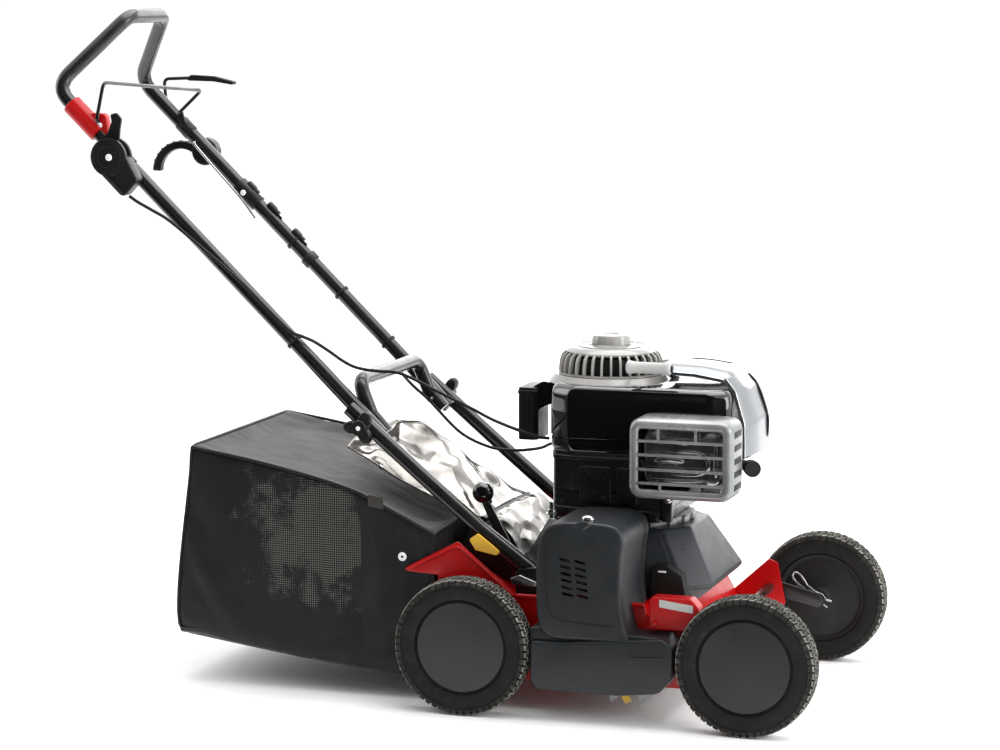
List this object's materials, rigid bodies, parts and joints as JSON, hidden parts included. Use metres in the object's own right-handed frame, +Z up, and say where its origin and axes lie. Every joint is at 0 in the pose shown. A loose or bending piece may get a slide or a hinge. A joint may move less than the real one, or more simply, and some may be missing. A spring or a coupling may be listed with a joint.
{
  "type": "walk-behind petrol lawn scarifier",
  "caption": "Push lawn machine on four wheels with an upright petrol engine, belt-driven knife rotor, folding tube handle, rear flap and fabric bag.",
  "frame": {"origin": "on the ground, under the middle of the whole machine's box", "axes": "+X forwards, +Y to the machine's left, +Z up"},
  "size_m": [1.1993, 0.543, 1.0029],
  "materials": {
    "tyre": "matte moulded rubber with a blocky tread, dusted with pale dirt",
    "hub": "dark grey moulded plastic, satin, with a turned groove",
    "red_paint": "gloss red enamel on pressed steel",
    "grey_cover": "charcoal moulded plastic, fine satin grain",
    "black_plastic": "black moulded plastic, satin",
    "engine_black": "black enamel on cast light metal",
    "gloss_black": "high gloss black moulding",
    "tube_black": "black powder coat, semi gloss",
    "bright_steel": "bright plated steel",
    "cast_metal": "cast and pressed light metal, lightly dulled",
    "silver_cowl": "silver-white moulding, clear coated",
    "dark_steel": "oiled steel",
    "soft_black": "black rubber and cable sheath",
    "bag_fabric": "black woven fabric, coated panels and open mesh sides",
    "smoke_flap": "glossy smoke-coloured sheet",
    "pale_grey": "light grey moulded plastic"
  },
  "bodies": {
    "chassis": {"rear_axle": "bright_steel", "deck": "red_paint", "side_plate_left": "red_paint", "side_plate_right": "red_paint", "height_box": "red_paint", "rear_chute_cover": "black_plastic", "gear_tower": "grey_cover", "mounting_ring": "cast_metal", "drive_belt": "soft_black", "belt_cover": "grey_cover", "cover_screw": "bright_steel", "engine_block": "engine_black", "blower_housing": "gloss_black", "recoil_cover": "black_plastic", "engine_cowl": "silver_cowl", "air_filter_box": "black_plastic", "muffler_guard": "cast_metal", "muffler": "bright_steel", "cylinder_head": "cast_metal", "spark_plug_boot": "soft_black", "handle_leg_right": "tube_black", "handle_leg_left": "tube_black", "handle_brace": "tube_black", "stop_cable_lower": "soft_black", "drive_cable_lower": "soft_black"},
    "front_axle": {"front_axle": "tube_black", "axle_clip": "bright_steel"},
    "wheel_front_right": {"tyre_front_right": "tyre", "rim_front_right": "hub"},
    "wheel_front_left": {"tyre_front_left": "tyre", "rim_front_left": "hub"},
    "wheel_rear_right": {"tyre_rear_right": "tyre", "rim_rear_right": "hub"},
    "wheel_rear_left": {"tyre_rear_left": "tyre", "rim_rear_left": "hub"},
    "rotor": {"rotor_shaft": "dark_steel", "rotor_knives": "dark_steel", "rotor_pulley": "cast_metal"},
    "cross_shaft": {"cross_shaft": "dark_steel", "drive_pulley": "cast_metal"},
    "engine_shaft": {"engine_shaft": "dark_steel"},
    "recoil_handle": {"recoil_handle": "pale_grey"},
    "fuel_cap": {"fuel_cap": "black_plastic"},
    "upper_handle": {"upper_handle": "tube_black", "bail_bracket": "red_paint", "bail_clip_left": "black_plastic", "throttle_box": "black_plastic", "stop_cable_upper": "soft_black", "drive_cable_upper": "soft_black"},
    "fold_knob_right": {"fold_knob_right": "black_plastic"},
    "fold_knob_left": {"fold_knob_left": "black_plastic"},
    "stop_bail": {"stop_bail": "tube_black"},
    "drive_lever": {"drive_lever": "tube_black"},
    "throttle_lever": {"throttle_lever": "black_plastic"},
    "clutch_lever": {"clutch_lever": "black_plastic"},
    "depth_lever": {"depth_lever": "black_plastic"},
    "rear_flap": {"rear_flap": "smoke_flap"},
    "bag": {"grass_bag": "bag_fabric", "bag_frame": "bright_steel"}
  },
  "joints": [
    {"name": "front_height", "type": "hinge", "parent": "chassis", "child": "front_axle", "pos_m": [0.42766, 0, 0.118], "axis": [0, 1, 0], "range_deg": [-8, 8]},
    {"name": "wheel_front_right_spin", "type": "hinge", "parent": "front_axle", "child": "wheel_front_right", "pos_m": [0.49966, -0.251, 0.1], "axis": [0, 1, 0], "continuous": true},
    {"name": "wheel_front_left_spin", "type": "hinge", "parent": "front_axle", "child": "wheel_front_left", "pos_m": [0.49966, 0.251, 0.1], "axis": [0, 1, 0], "continuous": true},
    {"name": "wheel_rear_right_spin", "type": "hinge", "parent": "chassis", "child": "wheel_rear_right", "pos_m": [0.08266, -0.251, 0.1], "axis": [0, 1, 0], "continuous": true},
    {"name": "wheel_rear_left_spin", "type": "hinge", "parent": "chassis", "child": "wheel_rear_left", "pos_m": [0.08266, 0.251, 0.1], "axis": [0, 1, 0], "continuous": true},
    {"name": "rotor_spin", "type": "hinge", "parent": "chassis", "child": "rotor", "pos_m": [0.30666, 0, 0.086], "axis": [0, 1, 0], "continuous": true},
    {"name": "cross_shaft_spin", "type": "hinge", "parent": "chassis", "child": "cross_shaft", "pos_m": [0.23266, -0.13, 0.205], "axis": [0, 1, 0], "continuous": true},
    {"name": "engine_shaft_spin", "type": "hinge", "parent": "chassis", "child": "engine_shaft", "pos_m": [0.23266, 0, 0.25], "axis": [0, 0, 1], "continuous": true},
    {"name": "recoil_pull", "type": "slide", "parent": "chassis", "child": "recoil_handle", "axis": [0, -1, 0], "range_m": [0, 0.06], "stiffness_N_per_m": 20, "springref_m": -0.15},
    {"name": "fuel_cap_turn", "type": "hinge", "parent": "chassis", "child": "fuel_cap", "pos_m": [0.29466, 0.082, 0.47], "axis": [0, 0, 1], "range_deg": [0, 120]},
    {"name": "handle_fold", "type": "hinge", "parent": "chassis", "child": "upper_handle", "pos_m": [-0.09534, 0, 0.4], "axis": [0, 1, 0], "range_deg": [0, 114]},
    {"name": "fold_knob_right_turn", "type": "hinge", "parent": "chassis", "child": "fold_knob_right", "pos_m": [-0.09534, -0.195, 0.4], "axis": [0, 1, 0], "range_deg": [0, 180]},
    {"name": "fold_knob_left_turn", "type": "hinge", "parent": "chassis", "child": "fold_knob_left", "pos_m": [-0.09534, 0.195, 0.4], "axis": [0, 1, 0], "range_deg": [0, 180]},
    {"name": "stop_bail_squeeze", "type": "hinge", "parent": "upper_handle", "child": "stop_bail", "pos_m": [-0.52434, 0, 0.837], "axis": [0, 1, 0], "range_deg": [-55, 0], "stiffness_Nm_per_rad": 0.5, "springref_deg": 22.92},
    {"name": "drive_lever_squeeze", "type": "hinge", "parent": "upper_handle", "child": "drive_lever", "pos_m": [-0.56234, 0.165, 0.85307], "axis": [0, 1, 0], "range_deg": [-30, 0], "stiffness_Nm_per_rad": 0.6, "springref_deg": 22.92},
    {"name": "throttle_set", "type": "hinge", "parent": "upper_handle", "child": "throttle_lever", "pos_m": [-0.49634, -0.1765, 0.786], "axis": [0, 1, 0], "range_deg": [-20, 20]},
    {"name": "clutch_set", "type": "hinge", "parent": "upper_handle", "child": "clutch_lever", "pos_m": [-0.49634, 0.175, 0.774], "axis": [0, 1, 0], "range_deg": [-15, 25]},
    {"name": "depth_lever_turn", "type": "hinge", "parent": "chassis", "child": "depth_lever", "pos_m": [0.12766, -0.125, 0.185], "axis": [0, 1, 0], "range_deg": [-20, 20]},
    {"name": "flap_lift", "type": "hinge", "parent": "chassis", "child": "rear_flap", "pos_m": [0.06566, 0, 0.258], "axis": [0, 1, 0], "range_deg": [0, 50], "stiffness_Nm_per_rad": 0.3, "springref_deg": -34.38},
    {"name": "bag_pull_off", "type": "slide", "parent": "chassis", "child": "bag", "axis": [-1, 0, 0], "range_m": [0, 0.3]}
  ],
  "couplings": [
    {"joint": "cross_shaft_spin", "follows": "rotor_spin", "ratio": 1.1538},
    {"joint": "engine_shaft_spin", "follows": "rotor_spin", "ratio": 1.1538},
    {"joint": "depth_lever_turn", "follows": "front_height", "ratio": 2.5}
  ]
}
